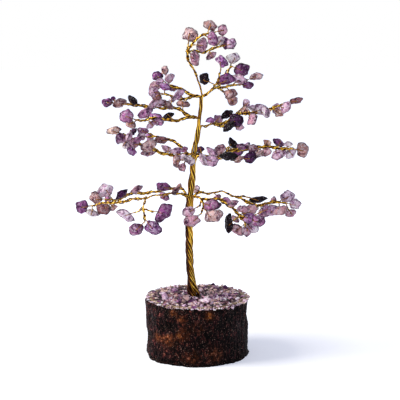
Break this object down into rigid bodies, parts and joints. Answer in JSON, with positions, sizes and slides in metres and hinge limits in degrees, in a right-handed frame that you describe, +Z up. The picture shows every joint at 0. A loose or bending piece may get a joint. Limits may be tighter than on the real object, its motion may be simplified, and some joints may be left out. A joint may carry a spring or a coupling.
{
  "type": "gemstone tree ornament",
  "caption": "Table ornament: a twisted wire tree hung with drilled violet stone chips, standing in a slice of log topped with crushed stone.",
  "frame": {"origin": "centre of the log's underside", "axes": "+Z up along the tree, +X to the right and +Y away from someone who looks at its front"},
  "size_m": [0.1697, 0.0778, 0.2473],
  "materials": {
    "log_wood": "sawn end grain",
    "bark": "dark lacquered bark",
    "glue": "dried clear glue",
    "gravel": "crushed crystal",
    "wire": "antiqued twisted wire",
    "chips": "tumbled polish"
  },
  "bodies": {
    "root": {"log_wood": "log_wood", "log_bark": "bark", "glue_bed": "glue", "gravel": "gravel", "low_left_cord": "wire", "low_left_hangers": "wire", "low_left_chips": "chips", "low_left_droop_cord": "wire", "low_left_droop_hangers": "wire", "low_left_droop_chips": "chips", "low_front_cord": "wire", "low_front_hangers": "wire", "low_front_chips": "chips", "low_right_cord": "wire", "low_right_hangers": "wire", "low_right_chips": "chips", "second_left_cord": "wire", "second_left_hangers": "wire", "second_left_chips": "chips", "second_front_cord": "wire", "second_front_hangers": "wire", "second_front_chips": "chips", "second_right_cord": "wire", "second_right_hangers": "wire", "second_right_chips": "chips", "third_left_cord": "wire", "third_left_hangers": "wire", "third_left_chips": "chips", "third_right_cord": "wire", "third_right_hangers": "wire", "third_right_chips": "chips", "top_left_cord": "wire", "top_left_hangers": "wire", "top_left_chips": "chips", "top_right_cord": "wire", "top_right_hangers": "wire", "top_right_chips": "chips", "crown_cord": "wire", "crown_hangers": "wire", "crown_chips": "chips"}
  },
  "joints": []
}
